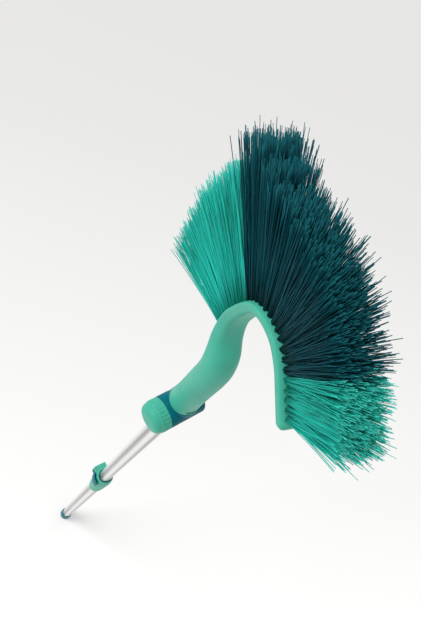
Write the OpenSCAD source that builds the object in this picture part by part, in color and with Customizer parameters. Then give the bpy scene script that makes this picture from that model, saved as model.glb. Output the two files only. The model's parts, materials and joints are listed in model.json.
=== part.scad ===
// Cobweb brush with an arched, swivelling head on a tilting joint and a telescopic handle.
// Millimetres. The handle's axis is +Z, the arch lies in the XZ plane, and the origin is the
// centre of the hanging hole in the end cap.

/* [Handle] */
// Outer radius of the wide lower tube
outer_tube_r = 11; // [10.5:0.25:12]
// Outer radius of the slim upper tube
inner_tube_r = 9.5; // [9:0.25:9.75]
// Wall of both tubes
tube_wall = 1; // [0.8:0.1:1.2]
// Height of the tilting joint's axis above the hanging hole
joint_z = 1250; // [1100:10:1400]
// Height of the clamp collar's mouth above the hanging hole
mouth_z = 745; // [650:5:800]
// Length of slim tube left inside the wide tube in this position
tube_overlap = 113; // [90:1:140]
// Length of the clamp collar
collar_len = 124; // [100:1:150]

/* [Tilting joint] */
// Radius of the joint drum
drum_r = 16.5; // [15:0.5:18]
// Length of the joint drum
drum_len = 38; // [36:1:42]
// Length of the clamp knob
knob_len = 17.5; // [15:0.5:20]
// Number of finger ribs round the knob
knob_ribs = 26; // [18:1:36]
// Turn of the drum about the handle, measured from the arch's side
drum_turn = 18; // [0:1:25]
// Thickness of the tongue that the drum clamps
tongue_w = 12.8; // [11:0.1:13]

/* [Head] */
// Radius of the round neck
neck_r = 14.2; // [13.8:0.1:14.6]
// Distance from the joint's axis to the neck's lower edge
neck_foot = 17.1; // [17:0.1:18]
// Half of the arch's width across the bristle rows
band_half = 13; // [12.5:0.1:14]
// Sections of the swept arch between two of its shape's points
arch_steps = 3; // [2:1:5]

/* [Bristles] */
// Distance between two rows of tufts
row_pitch = 5; // [4.6:0.1:5.2]
// Tufts in each of the four rows
tufts_in_row = 27; // [25:1:28]
// Free length of the longest bristles
bristle_len = 102; // [80:1:120]
// Sideways travel of a tip for each millimetre of its foot's distance from the middle
tip_spread = 0.6; // [0.4:0.05:1.1]
// Radius of a strand at its foot
strand_r = 0.75; // [0.5:0.05:0.85]

/* [Hidden] */
$fn = 64;

light_green = [0.34, 0.76, 0.64];
dark_teal = [0.0, 0.33, 0.39];
petrol = [0.04, 0.26, 0.32];
tube_grey = [0.78, 0.78, 0.78];
steel = [0.62, 0.63, 0.65];

running_gap = 0.05;

// End cap
cap_ball_r = 14;
cap_top = 49;
cap_lip_r = 12.4;
tube_foot = 12;
hang_hole_r = 3.5;

// Clamp at the top of the wide tube
collar_foot = mouth_z - collar_len;
collar_belly_r = 14.8;
collar_mouth_r = 12.6;
collar_foot_r = 11.7;
liner_len = 32;
outer_tube_top = mouth_z - liner_len;
outer_tube_bore = outer_tube_r - tube_wall;
fork_turn = 195;
fork_top = mouth_z - 9;
fork_h = 24;
fork_wall = 3;
fork_out = 21.5;
fork_half = 10.75;
pin_x = 17.5;
pin_y = 7;
pin_r = 1.5;
lever_h = 30;
lever_in = 15.5;
lever_out = 18.1;
lever_from = 238;
lever_to = 304;

// Slim tube
inner_tube_foot = mouth_z - liner_len - tube_overlap;
inner_tube_top = joint_z - 24;
inner_tube_bore = inner_tube_r - tube_wall;

// Joint
half_drum = drum_len / 2;
bolt_r = 4;
tongue_r = 12.2;
slot_w = tongue_w + 0.2;
slot_r = tongue_r + 0.3;
spigot_r = 10;
spigot_top = 52;
washer_t = 1.5;
nut_af = 13;
nut_t = 6.5;
bolt_head_t = 5.3;
bolt_head_in = 9.6;
cover_r = 9.5;
cover_t = 3.6;
window_from = -13;
window_to = 47;
tab_from = 29;
tab_to = 41;
knuckle_half = 5.5;
slot_back = 18;
slot_front = -20;
neck_profile = [[14.4, neck_foot], [15, 17.5], [15.3, 18.2], [15.25, 20], [14.9, 25], [14.5, 31],
                [neck_r + 0.1, 38], [neck_r, 48]];

// The arch, from the neck to its free end. Each point holds the place on the middle line as
// distance along the handle from the joint's axis and distance out to the brush's back, then
// half the thickness, half the width, how much wider the back is than the middle, how square
// the section is (2 is an ellipse) and the depth of the inner hollow.
arch_points = [
    [84, 0, neck_r, neck_r, 0, 2, 0],
    [104, 0, neck_r, neck_r, 0, 2, 0],
    [122, 1.5, 14, 14.2, 0, 2.05, 0],
    [139, 6, 12.4, band_half + 0.6, 0.4, 2.3, 0],
    [157, 14, 8.2, band_half - 1, 1.6, 2.8, 0.5],
    [176, 18.3, 5.7, band_half - 2.2, 2.4, 3.6, 0.8],
    [192, 18.2, 5.2, band_half - 2.2, 2.4, 4, 0.8],
    [207, 15.6, 4.9, band_half - 1.6, 1.8, 4.4, 0.6],
    [221, 12.2, 4.7, band_half - 1, 1.2, 4.6, 0.4],
    [234, 6.6, 4.4, band_half - 0.6, 0.8, 4.8, 0.3],
    [244, -4.5, 4.1, band_half - 0.5, 0.6, 4.8, 0.3],
    [249.3, -20, 4.1, band_half - 0.5, 0.6, 4.8, 0.3],
    [246.5, -36, 4.2, band_half - 0.5, 0.6, 4.8, 0.3],
    [239, -50.7, 4.6, band_half - 0.5, 0.6, 4.8, 0.3],
    [230, -66.5, 4.8, band_half - 0.5, 0.6, 4.6, 0.2]];
arch_last = len(arch_points) - 1;
end_round = 4.5;
ring_sides = 32;

// Bristles: place along the bristled stretch as a share of it, direction from the handle's
// axis and free length as a share of the longest
bristle_from = 4.45;
bristle_to = arch_last - 0.05;
bristle_fan = [[0, 114, 0.92], [0.34, 57, 1], [0.76, -10, 0.81], [1, -29, 0.76]];
channel_half = 10;
slice_t = 1.6;
slice_proud = 0.2;
strand_taper = 0.55;
tuft_groups = [["neck", 0, 10], ["crown", 10, 16], ["front", 16, 22], ["end", 22, tufts_in_row]];

// Smooth curve through rows of numbers, at position u counted in rows
function row_at(rows, i) = rows[max(0, min(len(rows) - 1, i))];
function smooth(rows, u) =
    let (i = min(floor(u), len(rows) - 2), f = u - i,
         a = row_at(rows, i - 1), b = row_at(rows, i), c = row_at(rows, i + 1), d = row_at(rows, i + 2))
    0.5 * (2 * b + (c - a) * f + (2 * a - 5 * b + 4 * c - d) * f * f + (3 * b - a - 3 * c + d) * f * f * f);

// Middle line of the arch as [x, z], its direction and its outward side
function arch_at(u) = smooth(arch_points, u);
function arch_mid(u) = let (p = arch_at(u)) [-p[1], joint_z + p[0]];
function unit(v) = v / norm(v);
function arch_dir(u) = unit(arch_mid(min(u + 0.02, arch_last)) - arch_mid(max(u - 0.02, 0)));
function arch_out(u) = let (d = arch_dir(u)) [-d[1], d[0]];

// Section of the arch as [across, outward]: an oval that squares up, wider at the back
function power(v, n) = sign(v) * pow(abs(v), 2 / n);
function section(h, w, wider, n, hollow) =
    [for (k = [0 : ring_sides - 1])
        let (a = 360 * (k + 0.5) / ring_sides, cy = power(cos(a), n), cz = power(sin(a), n))
        [(w + wider * cz) * cy, h * cz + (cz < 0 ? -hollow * cz * (1 - cy * cy) : 0)]];
function ring(u, shift, scale) =
    let (p = arch_at(u), m = arch_mid(u) + shift * arch_dir(u), o = arch_out(u),
         drawn_in = end_round * (1 - scale))
    [for (q = section(p[2] - drawn_in, p[3] - drawn_in, p[4], p[5], p[6]))
        [m[0] + q[1] * o[0], q[0], m[1] + q[1] * o[1]]];

// Closed skin over rings of n points each, with flat ends
function skin_faces(rings, n) = concat(
    [for (i = [0 : rings - 2], k = [0 : n - 1], half = [0, 1])
        let (a = i * n + k, b = i * n + (k + 1) % n)
        half == 0 ? [b + n, b, a] : [a + n, b + n, a]],
    [[for (k = [0 : n - 1]) k]],
    [[for (k = [n - 1 : -1 : 0]) (rings - 1) * n + k]]);
module skin(rings) polyhedron([for (r = rings, p = r) p], skin_faces(len(rings), len(rings[0])));

// Neck and arch are one skin: round rings up the neck, then the arch's own sections
module swept_head() skin(concat(
    [for (p = neck_profile) [for (q = section(p[0], p[0], 0, 2, 0)) [-q[1], q[0], joint_z + p[1]]]],
    [for (i = [0 : arch_last * arch_steps]) ring(i / arch_steps, 0, 1)],
    [for (a = [22.5, 45, 67.5]) ring(arch_last, end_round * sin(a), cos(a))]));

// Places
module at_joint() translate([0, 0, joint_z]) rotate([0, 0, drum_turn]) children();
module along_y() rotate([-90, 0, 0]) children();
module at_fork() rotate([0, 0, fork_turn]) children();

// Ring sector about the handle's axis
module sector(r_in, r_out, z, h, from, to)
    rotate([0, 0, from]) translate([0, 0, z]) rotate_extrude(angle = to - from)
        translate([r_in, 0]) square([r_out - r_in, h]);

module end_cap() color(dark_teal) difference() {
    rotate_extrude() polygon(concat(
        [for (a = [-90 : 12 : -18]) [cap_ball_r * cos(a), cap_ball_r * sin(a)]],
        [[cap_ball_r, 4.5], [cap_lip_r, cap_top - 1], [cap_lip_r - 0.6, cap_top], [outer_tube_r, cap_top],
         [outer_tube_r, tube_foot], [0, tube_foot]]));
    translate([0, -20, 0]) along_y() cylinder(r = hang_hole_r, h = 40);
}

module outer_tube() color(tube_grey) translate([0, 0, tube_foot]) difference() {
    cylinder(r = outer_tube_r, h = outer_tube_top - tube_foot);
    translate([0, 0, -1]) cylinder(r = outer_tube_bore, h = outer_tube_top - tube_foot + 2);
}

module collar_shell() translate([0, 0, collar_foot]) rotate_extrude() difference() {
    polygon([[0, 0], [collar_foot_r - 0.4, 0], [collar_foot_r, 0.6], [12.9, 14], [13.8, 40],
             [14.4, 70], [collar_belly_r, 94], [collar_belly_r, 104], [14.3, 113], [13.4, 120],
             [collar_mouth_r, collar_len - 0.5], [collar_mouth_r - 0.6, collar_len], [0, collar_len]]);
    translate([-1, -1]) square([outer_tube_r + 1, collar_len + 2]);
}

module fork_block() difference() {
    at_fork() translate([0, 0, fork_top - fork_h]) {
        translate([outer_tube_r + 1, -fork_half, 0])
            cube([fork_out - outer_tube_r - 1, fork_half + pin_y, fork_h]);
        translate([outer_tube_r + 1, pin_y - 0.01, 0])
            cube([pin_x - outer_tube_r - 1, fork_half - pin_y, fork_h]);
        translate([pin_x, pin_y, 0]) cylinder(r = fork_out - pin_x, h = fork_h);
    }
    translate([0, 0, fork_top - fork_h - 1]) cylinder(r = outer_tube_r + 0.6, h = fork_h + 2);
    at_fork() translate([14.9, -fork_half + 3, fork_top - fork_h + fork_wall])
        cube([10, 2 * fork_half, fork_h - 2 * fork_wall]);
}

module clamp_collar() color(light_green) difference() {
    union() {
        collar_shell();
        fork_block();
    }
    at_fork() translate([pin_x, pin_y, fork_top - fork_h - 1]) cylinder(r = pin_r, h = fork_h + 2);
    at_fork() translate([8, 0.5, fork_top - fork_h + fork_wall])
        cube([7.5, 12.5, fork_h - 2 * fork_wall]);
}

module clamp_liner() color(petrol) translate([0, 0, outer_tube_top]) difference() {
    cylinder(r = outer_tube_r, h = liner_len + 0.6);
    translate([0, 0, -1]) cylinder(r = inner_tube_r + running_gap, h = liner_len + 3);
    rotate([0, 0, 60]) translate([0, -0.6, -1]) cube([outer_tube_r + 1, 1.2, liner_len + 3]);
}

module clamp_lever() color(dark_teal) {
    hub_z = fork_top - fork_h + fork_wall + 0.15;
    hub_h = fork_h - 2 * fork_wall - 0.3;
    cam_turn = fork_turn + atan2(pin_y, pin_x);
    pin_dist = norm([pin_x, pin_y]);
    hub_r = fork_out - pin_x - 0.2;
    nose_r = 2.2;
    nose_at = outer_tube_r + nose_r + 0.15;
    difference() {
        union() {
            rotate([0, 0, cam_turn]) translate([0, 0, hub_z]) linear_extrude(height = hub_h) polygon(concat(
                [for (a = [-105 : 15 : 105]) [pin_dist + hub_r * cos(a), hub_r * sin(a)]],
                [for (a = [105 : 15 : 255]) [nose_at + nose_r * cos(a), nose_r * sin(a)]]));
            sector(lever_in, lever_out, hub_z + 0.4, hub_h - 0.8, cam_turn + 6, lever_from + 2);
            sector(lever_in, lever_out, hub_z + hub_h / 2 - lever_h / 2, lever_h, lever_from, lever_to);
            rotate([0, 0, lever_to]) translate([lever_out - 1.2, 0, hub_z + hub_h / 2 - lever_h / 2 + 1])
                cylinder(r = 1.6, h = lever_h - 2);
        }
        at_fork() translate([pin_x, pin_y, hub_z - 1]) cylinder(r = pin_r + running_gap, h = hub_h + 2);
    }
}

module lever_pin() color(steel) at_fork() translate([pin_x, pin_y, fork_top - fork_h])
    cylinder(r = pin_r, h = fork_h);

module inner_tube() color(tube_grey) translate([0, 0, inner_tube_foot]) difference() {
    cylinder(r = inner_tube_r, h = inner_tube_top - inner_tube_foot);
    translate([0, 0, -1]) cylinder(r = inner_tube_bore, h = inner_tube_top - inner_tube_foot + 2);
}

module guide_bush() color(petrol) translate([0, 0, inner_tube_foot]) difference() {
    union() {
        translate([0, 0, -14]) cylinder(r = outer_tube_bore - running_gap, h = 14);
        cylinder(r = inner_tube_bore, h = 22);
    }
    translate([0, 0, -15]) cylinder(r = 6, h = 40);
}

module tube_knuckle() color(dark_teal) difference() {
    union() {
        at_joint() translate([0, -tongue_w / 2, 0]) along_y() cylinder(r = tongue_r, h = tongue_w);
        at_joint() translate([-knuckle_half, -tongue_w / 2, -20]) cube([2 * knuckle_half, tongue_w, 20]);
        translate([0, 0, inner_tube_top]) cylinder(r1 = inner_tube_r, r2 = 9, h = 6);
        translate([0, 0, inner_tube_top - 34]) cylinder(r = inner_tube_bore, h = 34.01);
    }
    at_joint() translate([0, -20, 0]) along_y() cylinder(r = bolt_r + running_gap, h = 40);
    translate([0, 0, inner_tube_top - 35]) cylinder(r = 6, h = 30);
}

module drum_body() along_y() rotate_extrude() polygon(concat(
    [[0, -half_drum], [drum_r - 0.6, -half_drum], [drum_r, 0.6 - half_drum]],
    [for (a = [0 : 15 : 90]) [drum_r - 3.5 + 3.5 * cos(a), half_drum - 3.5 + 3.5 * sin(a)]],
    [[0, half_drum]]));

module joint_drum() color(dark_teal) at_joint() difference() {
    union() {
        drum_body();
        rotate_extrude() polygon([[0, 3], [15.95, 3], [15.9, 10], [15.6, 14.5], [15.2, 16.2], [14.5, 17],
                                  [0, 17]]);
        translate([0, 0, 12]) cylinder(r = spigot_r, h = spigot_top - 12);
        sector(spigot_r - 1, 13.9, 21, 5.2, tab_from - drum_turn, tab_to - drum_turn);
    }
    // Slot for the tongue, open towards the handle from its back edge round to its front edge
    translate([0, -slot_w / 2, 0]) along_y() linear_extrude(height = slot_w) {
        circle(r = slot_r);
        polygon(concat([[0, 0]], [for (a = [180 - slot_back, 225, 270, 315, 360 + slot_front])
            2 * drum_r * [cos(a), -sin(a)]]));
    }
    // Bolt hole, pocket for its head, and seat of the cover
    translate([0, -half_drum - 1, 0]) along_y() cylinder(r = bolt_r, h = drum_len);
    translate([0, bolt_head_in, 0]) along_y() cylinder(r = nut_af / sqrt(3), h = drum_len, $fn = 6);
    translate([0, half_drum - cover_t, 0]) along_y() cylinder(r = cover_r, h = drum_len);
    // Lightening hole down the spigot
    translate([0, 0, 20]) cylinder(r = 6.5, h = spigot_top);
}

module drum_cover() color(dark_teal) at_joint() translate([0, half_drum - cover_t, 0]) along_y()
    rotate_extrude() polygon([[0, 0], [cover_r, 0], [cover_r, cover_t - 0.4], [cover_r - 0.4, cover_t],
                              [0, cover_t + 0.5]]);

module pivot_bolt() color(steel) at_joint() {
    translate([0, bolt_head_in, 0]) along_y() cylinder(r = nut_af / sqrt(3), h = bolt_head_t, $fn = 6);
    translate([0, -half_drum - 11.5, 0]) along_y() cylinder(r = bolt_r, h = half_drum + 11.5 + bolt_head_in);
}

module knob_washer() color(steel) at_joint() translate([0, -half_drum - washer_t, 0]) along_y() difference() {
    cylinder(r = 9, h = washer_t);
    translate([0, 0, -1]) cylinder(r = bolt_r + running_gap, h = washer_t + 2);
}

module knob_outline() rotate_extrude() polygon(concat(
    [[0, 0.3], [drum_r - 0.5, 0.3], [drum_r, 0.8], [drum_r, 9.6], [drum_r - 0.7, 10.2]],
    [for (a = [0 : 15 : 75]) [9.8 + 5.8 * cos(a), 10.6 + (knob_len - 10.6) * sin(a)]],
    [[0, knob_len]]));

module clamp_knob() color(light_green) at_joint() translate([0, -half_drum, 0]) rotate([90, 0, 0]) difference() {
    knob_outline();
    for (k = [0 : knob_ribs - 1]) rotate([0, 0, 360 * k / knob_ribs])
        translate([drum_r + 0.35, 0, -1]) cylinder(r = 1.1, h = 10, $fn = 16);
    translate([0, 0, -1]) cylinder(r = 9.3, h = washer_t + 1);
    translate([0, 0, washer_t - 0.01]) cylinder(r = nut_af / sqrt(3), h = nut_t, $fn = 6);
    cylinder(r = bolt_r + 0.3, h = 13.5);
}

module knob_nut() color(steel) at_joint() translate([0, -half_drum - washer_t, 0]) rotate([90, 0, 0]) difference() {
    cylinder(r = nut_af / sqrt(3), h = nut_t - 0.01, $fn = 6);
    translate([0, 0, -1]) cylinder(r = bolt_r + running_gap, h = nut_t + 2);
}

module head_arch() color(light_green) difference() {
    swept_head();
    translate([0, 0, joint_z]) cylinder(r = spigot_r + running_gap, h = spigot_top + 2);
    translate([0, 0, joint_z]) sector(spigot_r - 1, neck_r + 2, 20.5, 6.5, window_from, window_to);
    bristle_channel();
}

// Bristles. A strand's foot is found by its place along the back of the arch and across it
line_steps = 200;
back_line = [for (i = [0 : line_steps])
    let (u = bristle_from + (bristle_to - bristle_from) * i / line_steps)
    concat(arch_mid(u) + arch_at(u)[2] * arch_out(u), [u])];
function sums(v, i = 0, s = 0, out = []) =
    i == len(v) ? out : sums(v, i + 1, s + v[i], concat(out, [s + v[i]]));
back_run = sums([for (i = [0 : line_steps])
    i == 0 ? 0 : norm([back_line[i][0] - back_line[i - 1][0], back_line[i][1] - back_line[i - 1][1]])]);
back_total = back_run[line_steps];
u_table = [for (i = [0 : line_steps]) [back_run[i], back_line[i][2]]];
tuft_pitch = back_total / tufts_in_row;

function back_point(run, y, lift) =
    let (u = lookup(run, u_table), m = arch_mid(u) + (arch_at(u)[2] + lift) * arch_out(u))
    [m[0], y, m[1]];
function fan_at(run) =
    let (f = run / back_total, k = f < bristle_fan[1][0] ? 0 : f < bristle_fan[2][0] ? 1 : 2,
         a = bristle_fan[k], b = bristle_fan[k + 1])
    smooth([for (r = bristle_fan) [r[1], r[2]]], k + (f - a[0]) / (b[0] - a[0]));
function strand_dir(run, y) =
    let (a = fan_at(run)[0]) unit([-sin(a), tip_spread * y / bristle_len, cos(a)]);
function strand_len(run, i) = bristle_len * fan_at(run)[1] * (0.96 + 0.04 * sin(i * 137.5));

// The channel in the back that takes the bristled slices, cut at the slices' own stations
module bristle_channel() {
    function corner(run, y, lift, past) =
        let (d = arch_dir(lookup(run, u_table))) back_point(run, y, lift) + past * [d[0], 0, d[1]];
    skin([for (i = [0 : 2 * tufts_in_row])
        let (run = i * tuft_pitch / 2, past = i == 0 ? -0.1 : i == 2 * tufts_in_row ? 0.1 : 0)
        [corner(run, channel_half, slice_proud - slice_t, past), corner(run, channel_half, 3, past),
         corner(run, -channel_half, 3, past), corner(run, -channel_half, slice_proud - slice_t, past)]]);
}

// One row of one stretch: a slice of the back with its strands, four to a tuft. The slice's
// top is a grid of two cells across, and each cell carries one three-sided strand.
module bristle_row(first, last, row) {
    n = 2 * (last - first);
    y0 = (row - 2.5) * row_pitch;
    half = row_pitch / 2 - 0.1;
    ys = [y0 - half, y0, y0 + half];
    function run(i) = (first + i / 2) * tuft_pitch + (i == 0 ? 0.1 : i == n ? -0.1 : 0);
    function top_at(i, j) = 3 * i + j;
    function low_at(i, j) = 3 * (n + 1) + 2 * i + j;
    function strand_at(k) = 5 * (n + 1) + 6 * k;
    top = [for (i = [0 : n], y = ys) back_point(run(i), y, slice_proud)];
    low = [for (i = [0 : n], y = [ys[0], ys[2]]) back_point(run(i), y, slice_proud - slice_t)];
    cells = [for (i = [0 : n - 1], j = [0, 1]) [i, j]];
    strands = [for (c = cells)
        let (r = (run(c[0]) + run(c[0] + 1)) / 2, y = (ys[c[1]] + ys[c[1] + 1]) / 2,
             to_middle = c[0] % 2 == 0 ? 0.45 : -0.45,
             foot = back_point(r + to_middle, y + (c[1] == 0 ? 0.35 : -0.35), slice_proud),
             tip = foot + strand_len(r, 2 * c[0] + c[1] + 7 * row) * strand_dir(r, y),
             d = arch_dir(lookup(r, u_table)),
             corners = [for (a = [-90, 30, 150]) [cos(a) * d[0], sin(a), cos(a) * d[1]]])
        for (end = [[foot, strand_r], [tip, strand_r * strand_taper]], q = corners) end[0] + end[1] * q];
    cell_faces = [for (k = [0 : len(cells) - 1])
        let (i = cells[k][0], j = cells[k][1], a = top_at(i, j), b = top_at(i + 1, j),
             c = top_at(i + 1, j + 1), d = top_at(i, j + 1), t = strand_at(k), q = t + 3)
        each [[a, b, t], [b, c, t + 1], [b, t + 1, t], [c, d, t + 2], [c, t + 2, t + 1], [d, a, t],
              [d, t, t + 2], [t, t + 1, q + 1], [t, q + 1, q], [t + 1, t + 2, q + 2],
              [t + 1, q + 2, q + 1], [t + 2, t, q], [t + 2, q, q + 2], [q, q + 1, q + 2]]];
    slice_faces = [for (i = [0 : n - 1])
        let (a = low_at(i, 0), b = low_at(i, 1), c = low_at(i + 1, 0), d = low_at(i + 1, 1),
             p = top_at(i, 0), q = top_at(i + 1, 0), r = top_at(i, 2), s = top_at(i + 1, 2))
        each [[a, b, d], [a, d, c], [a, c, q], [a, q, p], [b, r, s], [b, s, d]]];
    first_end = [low_at(0, 0), low_at(0, 1), top_at(0, 0), top_at(0, 1), top_at(0, 2)];
    last_end = [low_at(n, 0), low_at(n, 1), top_at(n, 0), top_at(n, 1), top_at(n, 2)];
    function end_faces(e) = [[e[0], e[2], e[3]], [e[0], e[3], e[4]], [e[0], e[4], e[1]]];
    function turned(faces) = [for (f = faces) [f[2], f[1], f[0]]];
    polyhedron(concat(top, low, strands),
        concat(turned(concat(cell_faces, slice_faces, end_faces(first_end))), end_faces(last_end)));
}

module bristles(group, row)
    color(group[0] == "crown" || group[0] == "front" ? petrol : light_green)
        bristle_row(group[1], group[2], row);

end_cap();
outer_tube();
clamp_collar();
clamp_liner();
clamp_lever();
lever_pin();
inner_tube();
guide_bush();
tube_knuckle();
joint_drum();
drum_cover();
pivot_bolt();
knob_washer();
clamp_knob();
knob_nut();
head_arch();
for (g = tuft_groups, row = [1 : 4])
    bristles(g, row);
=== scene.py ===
# %% [markdown]
# # A cobweb brush with an arched head on a telescopic handle
# The brush has two aluminium tubes, a lever clamp between them, a tilting joint under the
# head, and a plastic head that swings up and over in an arch. Four rows of tufts stand on the
# arch's back like the spokes of a fan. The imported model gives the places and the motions, and
# this script gives each piece its finished shape and surface. Lengths are in metres, and the
# numbers that describe a shape are in millimetres, as on a drawing, until `MM` turns them.

# %% Load the frame
import json
import math

import bmesh
import bpy
import numpy as np
from mathutils import Matrix, Vector


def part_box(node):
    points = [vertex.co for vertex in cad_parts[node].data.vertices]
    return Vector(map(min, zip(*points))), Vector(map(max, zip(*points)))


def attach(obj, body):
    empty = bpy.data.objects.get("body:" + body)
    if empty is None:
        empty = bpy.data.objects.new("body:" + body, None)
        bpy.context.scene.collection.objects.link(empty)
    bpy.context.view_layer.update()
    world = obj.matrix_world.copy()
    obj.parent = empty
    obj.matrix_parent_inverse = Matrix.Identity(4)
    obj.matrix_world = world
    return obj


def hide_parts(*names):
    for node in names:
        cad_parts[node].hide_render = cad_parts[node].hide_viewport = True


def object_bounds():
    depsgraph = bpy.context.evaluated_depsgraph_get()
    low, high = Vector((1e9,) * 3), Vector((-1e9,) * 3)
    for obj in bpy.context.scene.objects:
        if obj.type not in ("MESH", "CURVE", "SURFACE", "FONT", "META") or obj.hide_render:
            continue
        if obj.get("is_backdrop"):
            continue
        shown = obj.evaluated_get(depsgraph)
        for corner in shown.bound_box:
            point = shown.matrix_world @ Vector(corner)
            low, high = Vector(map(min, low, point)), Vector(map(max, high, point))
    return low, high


MM = 0.001
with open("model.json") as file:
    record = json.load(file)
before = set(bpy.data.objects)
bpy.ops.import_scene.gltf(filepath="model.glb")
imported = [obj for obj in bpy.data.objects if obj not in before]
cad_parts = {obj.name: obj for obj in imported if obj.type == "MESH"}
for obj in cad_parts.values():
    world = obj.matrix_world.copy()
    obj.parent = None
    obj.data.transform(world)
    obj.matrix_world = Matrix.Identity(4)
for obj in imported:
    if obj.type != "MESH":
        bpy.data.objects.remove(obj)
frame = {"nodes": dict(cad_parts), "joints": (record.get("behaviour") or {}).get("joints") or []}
cad_nodes = frame["nodes"]
cad_box = [list(corner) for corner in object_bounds()]
print("nodes in the frame:", len(cad_nodes))
print("box of the frame:", [[round(v, 4) for v in corner] for corner in cad_box])

# %% [markdown]
# ## Main places
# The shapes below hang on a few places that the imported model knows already: the height of
# the joint and its turn about the handle, the mouth of the collar and the ends of the tubes.
# Reading them from the model is safer than typing them twice.

# %% Main places
def packed_span(name):
    """Foot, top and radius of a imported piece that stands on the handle's axis."""
    low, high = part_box(name)
    return round(low.z / MM, 2), round(high.z / MM, 2), round(high.x / MM, 2)


tilt = next(joint for joint in frame["joints"] if joint["name"] == "head_tilt")
JOINT_Z = round(tilt["pos_m"][2] / MM, 2)
DRUM_TURN = round(math.degrees(math.atan2(tilt["axis"][0], -tilt["axis"][1])), 2)
MOUTH_Z = packed_span("clamp_collar")[1]
OUTER_TUBE = packed_span("outer_tube")
INNER_TUBE = packed_span("inner_tube")
print("joint at", JOINT_Z, "mm, turned", DRUM_TURN, "degrees, collar's mouth at", MOUTH_Z, "mm")

# %% [markdown]
# ## Camera
# The picture looks down along the handle from above the head, so the handle runs away from
# the lens and gets small quickly. A camera could be aimed with a constraint, but its three
# axes written as a matrix are exact and need nothing to follow. A hair's turn in pan and dip
# then centres the brush, and the focal length is given in pixels of the picture's height.

# %% Camera
eye = Vector((0.1148, -0.1765, 1.8395))
right = Vector((0.2167, 0.9346, 0.2822)).normalized()
back = Vector((0.3038, -0.3392, 0.8903)).normalized()
up = back.cross(right).normalized()
right = up.cross(back)

picture_tall, focal_pixels, sensor_wide = 631, 650, 36
pan, dip = -0.0038, -0.0023

camera_data = bpy.data.cameras.new("camera")
camera_data.sensor_width = sensor_wide
camera_data.lens = focal_pixels * sensor_wide / picture_tall
camera_data.clip_start = 0.01
camera = bpy.data.objects.new("camera", camera_data)
bpy.context.scene.collection.objects.link(camera)
turn = (Matrix((right, up, back)).transposed().to_4x4() @ Matrix.Rotation(pan, 4, "Y")
        @ Matrix.Rotation(dip, 4, "X"))
camera.matrix_world = Matrix.Translation(eye) @ turn
bpy.context.scene.camera = camera
bpy.context.scene.view_settings.view_transform = "Standard"
print("lens:", round(camera_data.lens, 2), "mm, eye at", [round(v, 3) for v in eye])

# %% [markdown]
# ## A helper for node trees
# Materials and Geometry Nodes are both trees of nodes. One small function adds a node, sets
# its inputs and links them: an input that is given a socket is linked, any other is set.

# %% Node helper
def add(tree, kind, inputs=None, **settings):
    """A new node, with its settings made and its inputs set or linked."""
    node = tree.nodes.new(kind)
    for name, value in settings.items():
        setattr(node, name, value)
    for key, value in (inputs or {}).items():
        socket = node.inputs[key]
        if isinstance(value, bpy.types.NodeSocket):
            tree.links.new(value, socket)
        else:
            socket.default_value = value
    return node


def grade(tree, factor, stops):
    """A colour that runs through (place, colour) stops as the factor goes from 0 to 1."""
    ramp = add(tree, "ShaderNodeValToRGB", {"Fac": factor})
    while len(ramp.color_ramp.elements) < len(stops):
        ramp.color_ramp.elements.new(0.5)
    for element, (place, colour) in zip(ramp.color_ramp.elements, stops):
        element.position = place
        element.color = (*colour, 1)
    return ramp.outputs["Color"]


def blank(name):
    """A new material with its node tree and its surface shader."""
    material = bpy.data.materials.new(name)
    material.use_nodes = True
    return material, material.node_tree, material.node_tree.nodes["Principled BSDF"]

# %% [markdown]
# ## Moulded plastic
# The head, the collar and the knob are one light green plastic, the joint and the lever a
# dark teal one. A mould is spark eroded, which leaves a satin skin of grains under half a
# millimetre, and the melt cools with faint clouds in its colour. Both come from noise on
# Object coordinates: wide and weak for the clouds and the gloss, very fine for the grain.

# %% Plastic
CLOUDS, PATCHES, GRAIN = 42.0, 110.0, 2600.0


def plastic(name, colour, deep, gloss, sheen):
    material, tree, shader = blank(name)
    place = add(tree, "ShaderNodeTexCoord").outputs["Object"]
    clouds = add(tree, "ShaderNodeTexNoise", {"Vector": place, "Scale": CLOUDS, "Detail": 4.0})
    tint = grade(tree, clouds.outputs["Fac"], [(0.3, deep), (0.62, colour)])
    patches = add(tree, "ShaderNodeTexNoise", {"Vector": place, "Scale": PATCHES, "Detail": 3.0})
    rough = add(tree, "ShaderNodeMapRange",
                {"Value": patches.outputs["Fac"], "From Min": 0.3, "From Max": 0.7,
                 "To Min": gloss - 0.05, "To Max": gloss + 0.07})
    grain = add(tree, "ShaderNodeTexNoise", {"Vector": place, "Scale": GRAIN, "Detail": 2.0})
    skin = add(tree, "ShaderNodeBump",
               {"Height": grain.outputs["Fac"], "Strength": 0.1, "Distance": 0.0002})
    tree.links.new(tint, shader.inputs["Base Color"])
    tree.links.new(rough.outputs["Result"], shader.inputs["Roughness"])
    tree.links.new(skin.outputs["Normal"], shader.inputs["Normal"])
    shader.inputs["IOR"].default_value = 1.47
    shader.inputs["Specular IOR Level"].default_value = sheen
    return material


light_green = plastic("light green plastic", (0.075, 0.53, 0.385), (0.065, 0.49, 0.355),
                      gloss=0.45, sheen=0.25)
dark_teal = plastic("dark teal plastic", (0.0005, 0.165, 0.215), (0.0004, 0.145, 0.19),
                    gloss=0.42, sheen=0.08)
petrol = plastic("petrol nylon", (0.012, 0.06, 0.085), (0.01, 0.05, 0.07),
                 gloss=0.5, sheen=0.4)
print("plastics:", light_green.name, "|", dark_teal.name, "|", petrol.name)

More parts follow.
